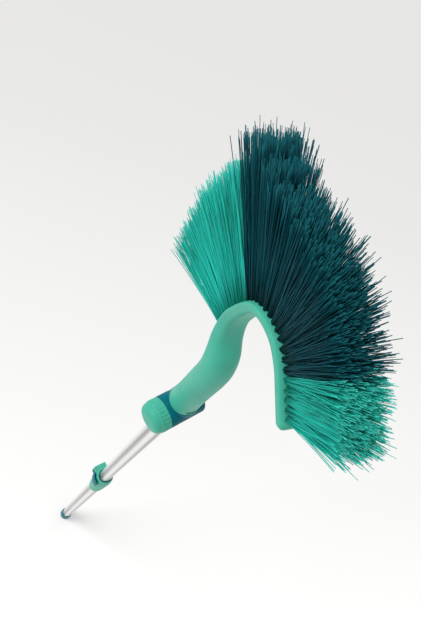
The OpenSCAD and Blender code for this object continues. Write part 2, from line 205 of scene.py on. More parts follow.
# %% [markdown]
# ## Drawn aluminium and brushed steel
# A tube is pulled through a die, which leaves fine lines along it and no other grain. The
# noise is squeezed along Z, so each speck becomes a line, once broad and faint and once thin.
# A bright tube also mirrors the light and dark sides of a room as bands along its length.
# A plain studio has no dark side to mirror, so the colour carries painted reflection: a wave
# that runs round the axis paints the light and dark bands. The pin, bolt, washer and nut are
# steel with shorter lines and no painted reflection.

# %% Metals
BROAD_LINES, THIN_LINES = 160.0, 1500.0
# Count and phase of the painted reflection bands round the tube.
REFLECTION_BANDS, FIRST_REFLECTION_BAND = 5.0, 3.75


def drawn_metal(name, dark, pale, rough_low, rough_high, squeeze, reflection_share):
    material, tree, shader = blank(name)
    place = add(tree, "ShaderNodeTexCoord").outputs["Object"]
    along = add(tree, "ShaderNodeMapping", {"Vector": place, "Scale": (1.0, 1.0, squeeze)})
    broad = add(tree, "ShaderNodeTexNoise",
                {"Vector": along.outputs["Vector"], "Scale": BROAD_LINES, "Detail": 1.0})
    thin = add(tree, "ShaderNodeTexNoise",
               {"Vector": along.outputs["Vector"], "Scale": THIN_LINES, "Detail": 3.0})
    lines = add(tree, "ShaderNodeMix",
                {"Factor": 0.3, 2: broad.outputs["Fac"], 3: thin.outputs["Fac"]})
    # Painted reflection: a wave round the axis, mapped to light and dark bands.
    flat = add(tree, "ShaderNodeSeparateXYZ", {0: place}).outputs
    turn = add(tree, "ShaderNodeMath", {0: flat["Y"], 1: flat["X"]}, operation="ARCTAN2")
    phase = add(tree, "ShaderNodeMath", {0: turn.outputs[0], 1: REFLECTION_BANDS, 2: FIRST_REFLECTION_BAND},
                operation="MULTIPLY_ADD")
    wave = add(tree, "ShaderNodeMath", {0: phase.outputs[0]}, operation="COSINE")
    band = add(tree, "ShaderNodeMapRange",
               {"Value": wave.outputs[0], "From Min": -1.0, "To Min": 0.36, "To Max": 0.64})
    # The colour mixes the drawn lines with the painted reflection bands.
    level = add(tree, "ShaderNodeMix",
                {"Factor": reflection_share, 2: lines.outputs[0], 3: band.outputs["Result"]})
    tint = grade(tree, level.outputs[0], [(0.4, dark), (0.6, pale)])
    rough = add(tree, "ShaderNodeMapRange",
                {"Value": lines.outputs[0], "From Min": 0.35, "From Max": 0.65,
                 "To Min": rough_low, "To Max": rough_high})
    score = add(tree, "ShaderNodeBump",
                {"Height": thin.outputs["Fac"], "Strength": 0.12, "Distance": 0.0001})
    tree.links.new(tint, shader.inputs["Base Color"])
    tree.links.new(rough.outputs["Result"], shader.inputs["Roughness"])
    tree.links.new(score.outputs["Normal"], shader.inputs["Normal"])
    shader.inputs["Metallic"].default_value = 1.0
    return material


# Aluminium: most of its colour is painted reflection bands, and the rest is its drawn lines.
aluminium = drawn_metal("drawn aluminium", (0.3, 0.295, 0.29), (0.84, 0.84, 0.83),
                        rough_low=0.2, rough_high=0.36, squeeze=0.004, reflection_share=0.7)
steel = drawn_metal("brushed steel", (0.4, 0.41, 0.43), (0.58, 0.59, 0.6),
                    rough_low=0.24, rough_high=0.4, squeeze=0.2, reflection_share=0.0)
print("metals:", aluminium.name, "|", steel.name)

# %% [markdown]
# ## Bristle plastic
# A bristle is a plastic thread, cut at its tip. Threads of one batch differ a little, and the
# cut end is paler. The foot sits in the shade of its neighbours, so its colour is darker:
# painted shade. The bristles will carry two numbers made by Geometry Nodes: `along`, from 0
# at the foot to 1 at the tip, and `shade`, one number for each thread. The material only has
# to read them.

# %% Bristle finish
def bristle_plastic(name, foot, middle, tip):
    material, tree, shader = blank(name)
    along = add(tree, "ShaderNodeAttribute", attribute_name="along").outputs["Fac"]
    shade = add(tree, "ShaderNodeAttribute", attribute_name="shade").outputs["Fac"]
    # Darker towards the foot: painted shade from the neighbouring threads.
    length = grade(tree, along, [(0.0, foot), (0.3, middle), (0.93, middle), (1.0, tip)])
    batch = add(tree, "ShaderNodeMapRange", {"Value": shade, "To Min": 0.72, "To Max": 1.22})
    tint = add(tree, "ShaderNodeVectorMath", {0: length, 1: (1, 1, 1)}, operation="MULTIPLY")
    tree.links.new(batch.outputs["Result"], tint.inputs[1])
    tree.links.new(tint.outputs["Vector"], shader.inputs["Base Color"])
    gloss = add(tree, "ShaderNodeMapRange", {"Value": shade, "To Min": 0.5, "To Max": 0.7})
    tree.links.new(gloss.outputs["Result"], shader.inputs["Roughness"])
    shader.inputs["IOR"].default_value = 1.5
    shader.inputs["Specular IOR Level"].default_value = 0.12
    return material


# Foot, middle and tip colours; the darker foot colour is painted shade.
green_bristle = bristle_plastic("light green bristles", (0.013, 0.42, 0.34),
                                (0.022, 0.62, 0.51), (0.08, 0.76, 0.65))
petrol_bristle = bristle_plastic("petrol bristles", (0.0008, 0.048, 0.066),
                                 (0.0012, 0.085, 0.112), (0.01, 0.16, 0.19))
print("bristle finishes:", green_bristle.name, "|", petrol_bristle.name)

# %% [markdown]
# ## Pieces from outlines
# Most parts of a handle come off a lathe or out of a round mould, so an outline turned about
# an axis makes them. Sharp corners are eased first, because no moulded edge is a knife edge.
# A Screw modifier could turn the outline too, but rings of points made in code also carry
# the arch later on, so one function skins both.

# %% Skins and outlines
WELD = 1e-7
ON_AXIS = 1e-4
NEARLY_STRAIGHT = math.radians(160)


def shown(name, data):
    """A new object in the scene."""
    made = bpy.data.objects.new(name, data)
    bpy.context.scene.collection.objects.link(made)
    return made


def piece(name, mesh, finish, body, slot, *replaced):
    """A finished piece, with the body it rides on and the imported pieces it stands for."""
    made = shown(name, mesh)
    mesh.materials.clear()
    mesh.materials.append(finish)
    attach(made, body)
    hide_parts(*replaced)
    return made


def skin(name, rings, loop=False):
    """A closed skin over rings of equally many points, with flat ends unless it's a loop."""
    bm = bmesh.new()
    rows = [[bm.verts.new(p) for p in ring] for ring in rings]
    count = len(rows[0])
    pairs = list(zip(rows, rows[1:])) + ([(rows[-1], rows[0])] if loop else [])
    for a, b in pairs:
        for k in range(count):
            bm.faces.new((a[k], a[(k + 1) % count], b[(k + 1) % count], b[k]))
    if not loop:
        bm.faces.new(rows[0])
        bm.faces.new(rows[-1])
    bmesh.ops.remove_doubles(bm, verts=bm.verts, dist=WELD)
    bmesh.ops.recalc_face_normals(bm, faces=bm.faces)
    mesh = bpy.data.meshes.new(name)
    bm.to_mesh(mesh)
    bm.free()
    return mesh


def eased(points, radius, steps=4, loop=False):
    """The outline with each real corner replaced by a short curve."""
    points = [Vector(p) for p in points]
    count = len(points)
    out = []
    for i, corner in enumerate(points):
        if not loop and i in (0, count - 1):
            out.append(corner)
            continue
        before, after = points[i - 1] - corner, points[(i + 1) % count] - corner
        if before.angle(after) > NEARLY_STRAIGHT:
            out.append(corner)
            continue
        cut = min(radius, before.length * 0.45, after.length * 0.45)
        a, b = corner + before.normalized() * cut, corner + after.normalized() * cut
        for t in np.linspace(0, 1, steps + 1):
            out.append((1 - t) ** 2 * a + 2 * t * (1 - t) * corner + t * t * b)
    return out


def arc(radius, turns, x=0, y=0):
    """Points on a circle about (x, y), one for each turn in radians."""
    return [(x + radius * math.cos(turn), y + radius * math.sin(turn)) for turn in turns]


def turned(name, outline, place=Matrix(), sides=96, loop=False):
    """The outline of (radius, height) pairs in millimetres, turned about the axis."""
    turns = [2 * math.pi * k / sides for k in range(sides)]
    rings = [[(max(r, ON_AXIS) * math.cos(t) * MM, max(r, ON_AXIS) * math.sin(t) * MM, h * MM)
              for t in turns] for r, h in outline]
    mesh = skin(name, rings, loop)
    mesh.transform(place)
    return mesh


def prism(name, outline, low, high, place=Matrix()):
    """A flat outline of (x, y) pairs, drawn up from low to high."""
    mesh = skin(name, [[(x * MM, y * MM, h * MM) for x, y in outline] for h in (low, high)])
    mesh.transform(place)
    return mesh

# %% [markdown]
# ## Joining and cutting
# Holes, slots and lugs are made the way a pattern maker would: one solid is joined to
# another or cut out of it. The exact Boolean solver does that, and the evaluated result is
# kept as a plain mesh. Where two cuts nearly meet it leaves triangles with no width, so
# those are dissolved. Afterwards only edges sharper than an angle stay crisp.

# %% Boolean helper
SLIVER = 0.002 * MM


def combined(mesh, *steps):
    """The mesh after each (operation, tool) step, with no tool and no sliver left over."""
    base = shown("work", mesh)
    for operation, tool_mesh in steps:
        tool = shown("tool", tool_mesh)
        modifier = base.modifiers.new("step", "BOOLEAN")
        modifier.operation = operation
        modifier.solver = "EXACT"
        modifier.object = tool
        graph = bpy.context.evaluated_depsgraph_get()
        result = bpy.data.meshes.new_from_object(base.evaluated_get(graph))
        base.modifiers.clear()
        base.data = result
        bpy.data.objects.remove(tool)
    result = base.data
    bpy.data.objects.remove(base)
    bm = bmesh.new()
    bm.from_mesh(result)
    bmesh.ops.dissolve_degenerate(bm, dist=SLIVER, edges=bm.edges)
    bm.to_mesh(result)
    bm.free()
    return result


def smoothed(mesh, angle=32):
    """The mesh with soft shading, but crisp where it turns by more than the angle."""
    mesh.shade_smooth()
    mesh.set_sharp_from_angle(angle=math.radians(angle))
    return mesh


def facts(made):
    """One printed line on a piece."""
    size = [round(v * 1000, 1) for v in made.dimensions]
    return f"{made.name}: {len(made.data.polygons)} faces, {size} mm"

# %% [markdown]
# ## The two tubes
# Both tubes are plain round tubes with a millimetre of wall. Their ends are cut and then
# deburred, so the outline is a thin closed loop with eased corners.

# %% Tubes
TUBE_WALL = 1


def tube(name, foot, top, radius):
    inside = radius - TUBE_WALL
    wall = [(radius, foot), (radius, top), (inside, top), (inside, foot)]
    return smoothed(turned(name, eased(wall, 0.25, 3, loop=True), sides=128, loop=True))


outer_tube = piece("wide_tube", tube("wide_tube", *OUTER_TUBE), aluminium, "handle",
                   "tube_metal", "outer_tube")
inner_tube = piece("slim_tube", tube("slim_tube", *INNER_TUBE), aluminium, "upper_tube",
                   "tube_metal", "inner_tube")
print(facts(outer_tube))
print(facts(inner_tube))

# %% [markdown]
# ## End cap
# A rounded cap closes the foot of the handle, and a cross hole through its ball takes a
# hook. The hole's mouth is flared by the shape of the cutter, which saves a bevel.

# %% End cap
CAP_R, CAP_TOP, HOOK_R = 14, 49, 3.5
tube_foot, tube_r = OUTER_TUBE[0], OUTER_TUBE[2]
ball = arc(CAP_R, np.linspace(-math.pi / 2, -0.12, 14))
cap_outline = ball + eased([(CAP_R, 0), (CAP_R, 5), (13.1, 28), (12.4, 48), (11.9, CAP_TOP),
                            (tube_r, CAP_TOP), (tube_r, tube_foot), (0, tube_foot)], 0.8)[1:]
flare = [(HOOK_R, 11), (3.9, 12.4), (5.2, 13.6), (7.5, 17), (0, 17)]
hook_hole = [(r, -h) for r, h in reversed(flare)] + flare
across = Matrix.Rotation(math.radians(-90), 4, "X")
cap_mesh = combined(turned("end_cap_body", cap_outline, sides=112),
                    ("DIFFERENCE", turned("hook hole", hook_hole, across, sides=64)))
end_cap = piece("end_cap_body", smoothed(cap_mesh), dark_teal, "handle", "dark_teal", "end_cap")
print(facts(end_cap))

# %% [markdown]
# ## Clamp collar
# The collar grips the top of the wide tube. Its body is turned from pairs of radius and
# depth below the mouth. The fork beside it carries the lever's pin, and the gap in the fork
# lets the cam through to the tube.

# %% Clamp collar
LEVER_Z = MOUTH_Z - 21
FORK_TURN, PIN, FORK_ROUND = math.radians(195), Vector((17.5, 7)), 4
FORK_HALF, GAP_HALF = 12, 9
fork_place = Matrix.Rotation(FORK_TURN, 4, "Z")
collar_depths = [(0, 124), (11.3, 124), (11.8, 123.2), (12.9, 110), (13.8, 84), (14.4, 54),
                 (14.8, 30), (14.8, 20), (14.3, 11), (13.4, 4), (12.6, 0.5), (12, 0), (0, 0)]
collar_outline = eased([(r, MOUTH_Z - depth) for r, depth in collar_depths], 0.7)
fork_outline = ([(6, -10.75), (20.7, -10.75), (PIN.x + FORK_ROUND, -9.95)]
                + arc(FORK_ROUND, np.linspace(0, math.pi / 2, 10), PIN.x, PIN.y) + [(6, 10.9)])
bore = [(r, MOUTH_Z - depth) for r, depth in
        [(0, 145), (tube_r, 145), (tube_r, 1), (11.5, -5), (0, -5)]]
gap = [(14.9, -7.75), (30, -7.75), (30, 14), (14.9, 14)]
cam_pocket = [(8, 0.5), (15.5, 0.5), (15.5, 13), (8, 13)]
gap_span = (LEVER_Z - GAP_HALF, LEVER_Z + GAP_HALF)
collar_mesh = combined(
    turned("clamp_collar_body", collar_outline, sides=112),
    ("UNION", prism("fork", fork_outline, LEVER_Z - FORK_HALF, LEVER_Z + FORK_HALF, fork_place)),
    ("DIFFERENCE", turned("bore", bore, sides=112)),
    ("DIFFERENCE", prism("gap", gap, *gap_span, fork_place)),
    ("DIFFERENCE", prism("pocket", cam_pocket, *gap_span, fork_place)))
collar = piece("clamp_collar_body", smoothed(collar_mesh), light_green, "handle",
               "light_green", "clamp_collar")
print(facts(collar))

# %% [markdown]
# ## Clamp lever
# The lever is a curved paddle that lies round the collar. It is a skin over rings that
# follow an arc, narrow at the pin and tall at the finger end, with a thicker lip to pull on.
# Each station is an angle round the handle, half a thickness and half a height. A cam at the
# pin presses the tube when the paddle is closed.

# %% Clamp lever
PADDLE_R, RING_POINTS = 16.8, 40
CAM_HALF, CAM_R, CAM_NOSE_R, CAM_REACH, PIN_HOLE_R = 8.85, 3.8, 2.2, 13.35, 1.55


def paddle_rings():
    """Rounded rectangles across the paddle, one at each station along its arc."""
    stations = [(223, 0.4, 6.5), (223.5, 1.1, 8.0), (225, 1.3, 8.6), (238, 1.3, 8.8),
                (240.5, 1.3, 11.6), (243, 1.3, 14.2), (246, 1.3, 14.9), (255, 1.3, 15),
                (275, 1.3, 15), (294, 1.3, 15), (299, 1.5, 15), (302, 1.9, 14.6),
                (304.5, 1.8, 14), (306, 1.2, 13.2), (306.6, 0.4, 12.4)]
    for angle, thick, tall in stations:
        a = math.radians(angle)
        ring = []
        for k in range(RING_POINTS):
            t = 2 * math.pi * (k + 0.5) / RING_POINTS
            c = math.copysign(abs(math.cos(t)) ** 0.5, math.cos(t))
            s = math.copysign(abs(math.sin(t)) ** 0.3, math.sin(t))
            r = PADDLE_R + thick * c
            ring.append((r * math.cos(a) * MM, r * math.sin(a) * MM, (LEVER_Z + tall * s) * MM))
        yield ring


pin_place = fork_place @ Matrix.Translation((PIN.x * MM, PIN.y * MM, 0))
cam_turn = Matrix.Rotation(FORK_TURN + math.atan2(PIN.y, PIN.x), 4, "Z")
cam_outline = (arc(CAM_R, np.radians(np.arange(-105, 106, 7.5)), PIN.length)
               + arc(CAM_NOSE_R, np.radians(np.arange(105, 256, 7.5)), CAM_REACH))
pin_hole = [(0, LEVER_Z - 24), (PIN_HOLE_R, LEVER_Z - 24), (PIN_HOLE_R, LEVER_Z + 26),
            (0, LEVER_Z + 26)]
lever_mesh = combined(
    skin("clamp_lever_body", list(paddle_rings())),
    ("UNION", prism("cam", cam_outline, LEVER_Z - CAM_HALF, LEVER_Z + CAM_HALF, cam_turn)),
    ("DIFFERENCE", turned("pin hole", pin_hole, pin_place, sides=32)))
lever = piece("clamp_lever_body", smoothed(lever_mesh, 40), dark_teal, "lever", "dark_teal",
              "clamp_lever")
print(facts(lever))

# %% [markdown]
# ## Joint drum
# The drum lies across the handle and clamps the tongue that sits on the slim tube. A round
# seat rises from it, and on that a spigot that goes up into the head, with a latch tab that
# shows in the head's window. The slot for the tongue is open towards the handle. The drum's
# outline is turned about the bolt's axis. Its near face stops a hair short of the knob's
# washer, and its far end holds a small cover.

# %% Joint drum
DRUM_R, DRUM_HALF, BOLT_HOLE_R = 16.5, 19, 4.02
COVER_SEAT_R, COVER_SEAT, NUT_SEAT_R = 9.5, 15.4, 7.55
SLOT_HALF, SLOT_R, TONGUE_SWEEP = 6.5, 12.5, 33
NEAR_FACE = 0.03 - DRUM_HALF
joint_place = (Matrix.Translation((0, 0, JOINT_Z * MM))
               @ Matrix.Rotation(math.radians(DRUM_TURN), 4, "Z"))
drum_place = joint_place @ across
drum_outline = ([(BOLT_HOLE_R, NEAR_FACE), (15.9, NEAR_FACE), (16.35, -18.85), (DRUM_R, -18.4)]
                + arc(3.5, np.linspace(0, math.pi / 2, 10), 13, 15.5)
                + [(COVER_SEAT_R, DRUM_HALF), (COVER_SEAT_R, COVER_SEAT), (NUT_SEAT_R, COVER_SEAT),
                   (NUT_SEAT_R, 9.6), (BOLT_HOLE_R, 9.6)])
seat_outline = [(0, 8), (15.95, 8), (15.9, 10), (15.75, 13), (15.55, 15), (15.2, 16.2),
                (14.85, 16.8), (14.3, 17), (0, 17)]
spigot_outline = [(0, 12), (10, 12), (10, 51), (9.4, 52), (6.5, 52), (6.5, 20), (0, 20)]
slot_outline = (arc(SLOT_R, -np.radians(np.arange(-20, 163, 7)))
                + arc(TONGUE_SWEEP, -np.radians([162, 225, 270, 315, 340])))
tab_outline = arc(9, np.radians([23, 17, 11])) + arc(13.9, np.radians([11, 14, 17, 20, 23]))
cover_seat = [(0, COVER_SEAT), (COVER_SEAT_R, COVER_SEAT), (COVER_SEAT_R, 25), (0, 25)]
drum_mesh = combined(
    turned("joint_drum_body", drum_outline, drum_place, sides=112, loop=True),
    ("UNION", turned("seat", seat_outline, joint_place, sides=112)),
    ("UNION", turned("spigot", spigot_outline, joint_place, sides=64)),
    ("UNION", prism("tab", tab_outline, 21, 26.2, joint_place)),
    ("DIFFERENCE", prism("slot", slot_outline, -SLOT_HALF, SLOT_HALF, drum_place)),
    ("DIFFERENCE", turned("cover seat", cover_seat, drum_place, sides=112)))
drum = piece("joint_drum_body", smoothed(drum_mesh), dark_teal, "joint", "dark_teal", "joint_drum")
cover_r = COVER_SEAT_R - 0.05
cover_outline = eased([(0, COVER_SEAT), (cover_r, COVER_SEAT), (cover_r, 18.7), (9.1, DRUM_HALF),
                       (0, 19.5)], 0.3)
cover = piece("drum_cover_body", smoothed(turned("drum_cover_body", cover_outline, drum_place)),
              dark_teal, "joint", "dark_teal", "drum_cover")
print(facts(drum))
print(facts(cover))

# %% [markdown]
# ## Clamp knob
# The knob is a smooth rounded cap with a band of finger grooves next to the drum. The
# grooves repeat round a circle, so Geometry Nodes stand one round cutter on each point of a
# circle and take them all out of the turned body in one Boolean. Their number and size are
# named inputs, which is kinder to change than twenty-six objects.

# %% Tree for the grooves
CUTTER_SIDES, CUTTER_DEPTH = 36, 0.04


def grooves_tree():
    """The tree that cuts finger grooves into a body, and the identifiers of its inputs."""
    tree = bpy.data.node_groups.new("finger grooves", "GeometryNodeTree")
    names = {}
    for name, kind in (("Body", "NodeSocketGeometry"), ("Count", "NodeSocketInt"),
                       ("Ring Radius", "NodeSocketFloat"), ("Groove Radius", "NodeSocketFloat"),
                       ("Groove Top", "NodeSocketFloat"), ("Finish", "NodeSocketMaterial")):
        names[name] = tree.interface.new_socket(name, in_out="INPUT", socket_type=kind).identifier
    tree.interface.new_socket("Body", in_out="OUTPUT", socket_type="NodeSocketGeometry")
    given = add(tree, "NodeGroupInput").outputs
    circle = add(tree, "GeometryNodeMeshCircle",
                 {"Vertices": given["Count"], "Radius": given["Ring Radius"]})
    cutter = add(tree, "GeometryNodeMeshCylinder",
                 {"Vertices": CUTTER_SIDES, "Radius": given["Groove Radius"],
                  "Depth": CUTTER_DEPTH})
    drop = add(tree, "ShaderNodeMath", {0: given["Groove Top"], 1: CUTTER_DEPTH / 2},
               operation="SUBTRACT")
    lower = add(tree, "ShaderNodeCombineXYZ", {"Z": drop.outputs[0]})
    placed = add(tree, "GeometryNodeTransform",
                 {"Geometry": cutter.outputs["Mesh"], "Translation": lower.outputs[0]})
    stood = add(tree, "GeometryNodeInstanceOnPoints",
                {"Points": circle.outputs["Mesh"], "Instance": placed.outputs[0]})
    whole = add(tree, "GeometryNodeRealizeInstances", {"Geometry": stood.outputs[0]})
    cut = add(tree, "GeometryNodeMeshBoolean", operation="DIFFERENCE", solver="EXACT")
    tree.links.new(given["Body"], cut.inputs["Mesh 1"])
    tree.links.new(whole.outputs[0], cut.inputs["Mesh 2"])
    real = add(tree, "GeometryNodeRealizeInstances", {"Geometry": cut.outputs["Mesh"]})
    faced = add(tree, "GeometryNodeSetMaterial",
                {"Geometry": real.outputs[0], "Material": given["Finish"]})
    add(tree, "NodeGroupOutput", {0: faced.outputs[0]})
    return tree, names


def grown(name, mesh, tree, names, values):
    """The mesh that a Geometry Nodes tree makes from mesh, as a plain mesh."""
    holder = shown("holder", mesh)
    modifier = holder.modifiers.new("tree", "NODES")
    modifier.node_group = tree
    for key, value in values.items():
        modifier[names[key]] = value
    graph = bpy.context.evaluated_depsgraph_get()
    made = bpy.data.meshes.new_from_object(holder.evaluated_get(graph))
    holder.modifiers.clear()
    bpy.data.objects.remove(holder)
    made.name = name
    return made

# %% Clamp knob
GROOVES, GROOVE_RING_R, GROOVE_R, GROOVE_TOP = 26, 19.1, 3.0, 9.0
knob_place = (joint_place @ Matrix.Translation((0, -DRUM_HALF * MM, 0))
              @ Matrix.Rotation(math.pi / 2, 4, "X"))
dome = [(9.8 + 5.8 * math.cos(a), 10.6 + 6.9 * math.sin(a)) for a in np.linspace(0, 1.45, 14)]
knob_outline = ([(0, 13.5), (4.3, 13.5), (4.3, 8), (NUT_SEAT_R, 8), (NUT_SEAT_R, 1.5), (9.3, 1.5),
                 (9.3, 0.3), (15.9, 0.3), (16.35, 0.45), (DRUM_R, 0.85), (DRUM_R, 9.4),
                 (16.3, 9.9), (15.9, 10.2)] + dome + [(0, 17.5)])
groove_tree, groove_inputs = grooves_tree()
knob_mesh = grown("clamp_knob_body", turned("knob", knob_outline, sides=6 * GROOVES),
                  groove_tree, groove_inputs,
                  {"Count": GROOVES, "Ring Radius": GROOVE_RING_R * MM,
                   "Groove Radius": GROOVE_R * MM, "Groove Top": GROOVE_TOP * MM,
                   "Finish": light_green})
knob_mesh.transform(knob_place)
knob = piece("clamp_knob_body", smoothed(knob_mesh, 50), light_green, "knob", "light_green",
             "clamp_knob")
print(facts(knob))

# %% [markdown]
# ## The swept head
# The head is one moulding: a round neck that flattens, steps back, and swings over in an
# arch to a blunt end. Its section changes all the way, from a circle to a squarish oval that
# is wider at the back, where the bristles stand. Each row below is one section: distance
# along the handle from the joint, distance out to the back, half thickness, half width, how
# much wider the back is, squareness, and how hollow the inner face is. A smooth curve
# through the rows gives as many sections as wanted, which a bent box never would.

# %% Sections of the head
ARCH = [(84, 0, 14.2, 14.2, 0, 2, 0), (104, 0, 14.2, 14.2, 0, 2, 0),
        (122, 1.5, 14, 14.2, 0, 2.05, 0), (139, 6, 12.4, 13.6, 0.4, 2.3, 0),
        (157, 14, 8.2, 12, 1.6, 2.8, 0.5), (176, 18.3, 5.7, 10.8, 2.4, 3.6, 0.8),
        (192, 18.2, 5.2, 10.8, 2.4, 4, 0.8), (207, 15.6, 4.9, 11.4, 1.8, 4.4, 0.6),
        (221, 12.2, 4.7, 12, 1.2, 4.6, 0.4), (234, 6.6, 4.4, 12.4, 0.8, 4.8, 0.3),
        (244, -4.5, 4.1, 12.5, 0.6, 4.8, 0.3), (249.3, -20, 4.1, 12.5, 0.6, 4.8, 0.3),
        (246.5, -36, 4.2, 12.5, 0.6, 4.8, 0.3), (239, -50.7, 4.6, 12.5, 0.6, 4.8, 0.3),
        (230, -66.5, 4.8, 12.5, 0.6, 4.6, 0.2)]
LAST = len(ARCH) - 1
STEPS = 7
END_ROUND = 4.5


def between(rows, u):
    """The rows' values at u, where row 0 stands at 0 and each next row one further on."""
    i = min(int(math.floor(u)), len(rows) - 2)
    f = u - i
    a, b, c, d = (np.array(rows[max(0, min(len(rows) - 1, i + k))], float) for k in (-1, 0, 1, 2))
    return 0.5 * (2 * b + (c - a) * f + (2 * a - 5 * b + 4 * c - d) * f ** 2
                  + (3 * b - a - 3 * c + d) * f ** 3)


def middle(u):
    """The middle of the section at u, as x and z."""
    s, t = between(ARCH, u)[:2]
    return np.array([-t, JOINT_Z + s])


def heading(u):
    """The direction along the arch at u."""
    step = middle(min(u + 0.02, LAST)) - middle(max(u - 0.02, 0))
    return step / np.linalg.norm(step)


def outward(u):
    """The direction out of the arch's back at u."""
    d = heading(u)
    return np.array([-d[1], d[0]])


def section(half, width, wider, square, hollow, sides=96):
    """Points round one section, as distances across the arch and out of its back."""
    points = []
    for k in range(sides):
        a = 2 * math.pi * (k + 0.5) / sides
        y = math.copysign(abs(math.cos(a)) ** (2 / square), math.cos(a))
        z = math.copysign(abs(math.sin(a)) ** (2 / square), math.sin(a))
        dent = -hollow * z * (1 - y * y) if z < 0 else 0
        points.append(((width + wider * z) * y, half * z + dent))
    return points


def head_ring(u, ahead=0.0, drawn_in=0.0):
    """The section at u as a ring in space, moved ahead and drawn in for the blunt end."""
    half, width, wider, square, hollow = between(ARCH, u)[2:]
    m, o = middle(u) + ahead * heading(u), outward(u)
    return [((m[0] + q * o[0]) * MM, y * MM, (m[1] + q * o[1]) * MM)
            for y, q in section(half - drawn_in, width - drawn_in, wider, square, hollow)]


def neck_ring(radius, height):
    """A round ring at a height above the joint."""
    return [(-q * MM, y * MM, (JOINT_Z + height) * MM)
            for y, q in section(radius, radius, 0, 2, 0)]


print("sections:", len(ARCH), "from", ARCH[0][:2], "to", ARCH[-1][:2])

# %% [markdown]
# The neck starts inside: its first rings are the bore that takes the spigot, then come the
# foot and the outer face. The latch window is cut by a wedge whose rings follow the wall. Its
# flat ends lie well clear of the wall on both sides, so no chip of it is left standing.

# %% Head
neck = [(10.05, 54), (10.05, 17.6), (10.5, 17.15), (14.3, 17.1), (14.9, 17.35), (15.25, 17.9),
        (15.32, 18.7), (15.2, 20.5), (14.95, 24), (14.7, 28), (14.45, 33), (14.3, 39),
        (14.22, 48), (14.2, 60), (14.2, 72)]
rings = [neck_ring(*row) for row in neck]
rings += [head_ring(k / STEPS) for k in range(LAST * STEPS + 1)]
rings += [head_ring(LAST, END_ROUND * math.sin(a), END_ROUND * (1 - math.cos(a)))
          for a in np.radians([12, 24, 36, 48, 60, 70, 80, 87])]
WINDOW_INSIDE, WINDOW_OUTSIDE, LONG_SIDE = 9, 24, 20
window = [(-12, 20.5), (46, 20.5), (47, 21), (47.3, 22), (47.3, 25.5), (47, 26.5), (46, 27),
          (-12, 27), (-12.8, 26.5), (-13, 25.5), (-13, 22), (-12.8, 21)]
window_path = []
for (a0, z0), (a1, z1) in zip(window, window[1:] + window[:1]):
    for t in np.linspace(0, 1, 15 if abs(a1 - a0) > LONG_SIDE else 2, endpoint=False):
        window_path.append((math.radians(a0 + (a1 - a0) * t), z0 + (z1 - z0) * t))
window_cutter = skin("window", [[(r * math.cos(a) * MM, r * math.sin(a) * MM, (JOINT_Z + z) * MM)
                                 for a, z in window_path]
                                for r in (WINDOW_INSIDE, WINDOW_OUTSIDE)])
head_mesh = combined(skin("head", rings), ("DIFFERENCE", window_cutter))
head = piece("swept_head", smoothed(head_mesh, 38), light_green, "head", "light_green",
             "head_arch")
print(facts(head))

# %% [markdown]
# ## Bristles
# Four rows of tufts stand along the back of the arch, twenty-seven to a row. A tuft is a
# bundle of threads folded into one hole, so it leaves the hole tight and opens towards its
# tips. Nobody models the threads one by one, and a hair system is dropped on export. The
# code below only says where each tuft stands, where it points and how long it is. Both
# tables start with a share of the way along the rows: `FAN` gives the aim in degrees, and
# `TRIM` the length, longest at the first petrol tufts and shorter towards the front. A tree
# then turns every point into a bundle of tapered, slightly bent threads with a fixed seed,
# so each run gives the same brush.

# %% Tufts
FIRST_TUFT, LAST_TUFT = 4.45, LAST - 0.05
ROWS, ROW_PITCH, TUFTS = 4, 5, 27
LENGTH, SPREAD, SEAT = 102, 0.6, 0.6
FAN = [(0, 114), (0.34, 57), (0.76, -10), (1, -29)]
TRIM = [(0, 0.94), (0.18, 0.93), (0.368, 0.97), (0.372, 1.17), (0.43, 1.1), (0.5, 0.88),
        (0.8, 0.82), (1, 0.72)]

table_u = np.linspace(FIRST_TUFT, LAST_TUFT, 201)
table_at = np.array([middle(u) + between(ARCH, u)[2] * outward(u) for u in table_u])
table_run = np.concatenate([[0], np.cumsum(np.linalg.norm(np.diff(table_at, axis=0), axis=1))])
total = table_run[-1]


def fan_at(share):
    """Aim in degrees, and share of the full length, at a share of the way along the rows."""
    k = sum(share >= row[0] for row in FAN[1:-1])
    a, b = FAN[k][0], FAN[k + 1][0]
    angle = between([row[1:] for row in FAN], k + (share - a) / (b - a))[0]
    return angle, np.interp(share, *zip(*TRIM))


def tuft(number, row):
    """Foot, aim, direction along the arch, and length of one tuft, in metres."""
    run = (number + 0.5) * total / TUFTS
    u = np.interp(run, table_run, table_u)
    y = (row - (ROWS - 1) / 2) * ROW_PITCH
    foot = middle(u) + (between(ARCH, u)[2] - SEAT) * outward(u)
    angle, share = fan_at(run / total)
    aim = Vector((-math.sin(math.radians(angle)), SPREAD * y / LENGTH,
                  math.cos(math.radians(angle)))).normalized()
    d = heading(u)
    return Vector((foot[0], y, foot[1])) * MM, aim, Vector((d[0], 0, d[1])), LENGTH * share * MM


def tuft_points(name, first, last):
    """A mesh of one point for each tuft, which carries its aim, direction and length."""
    tufts = [tuft(number, row) for number in range(first, last) for row in range(ROWS)]
    mesh = bpy.data.meshes.new(name)
    mesh.from_pydata([row[0] for row in tufts], [], [])
    for key, column in (("aim", 1), ("ahead", 2)):
        layer = mesh.attributes.new(key, "FLOAT_VECTOR", "POINT")
        layer.data.foreach_set("vector", [v for row in tufts for v in row[column]])
    layer = mesh.attributes.new("reach", "FLOAT", "POINT")
    layer.data.foreach_set("value", [row[3] for row in tufts])
    return mesh


print("bristled stretch:", round(total, 1), "mm, one tuft every", round(total / TUFTS, 2), "mm")

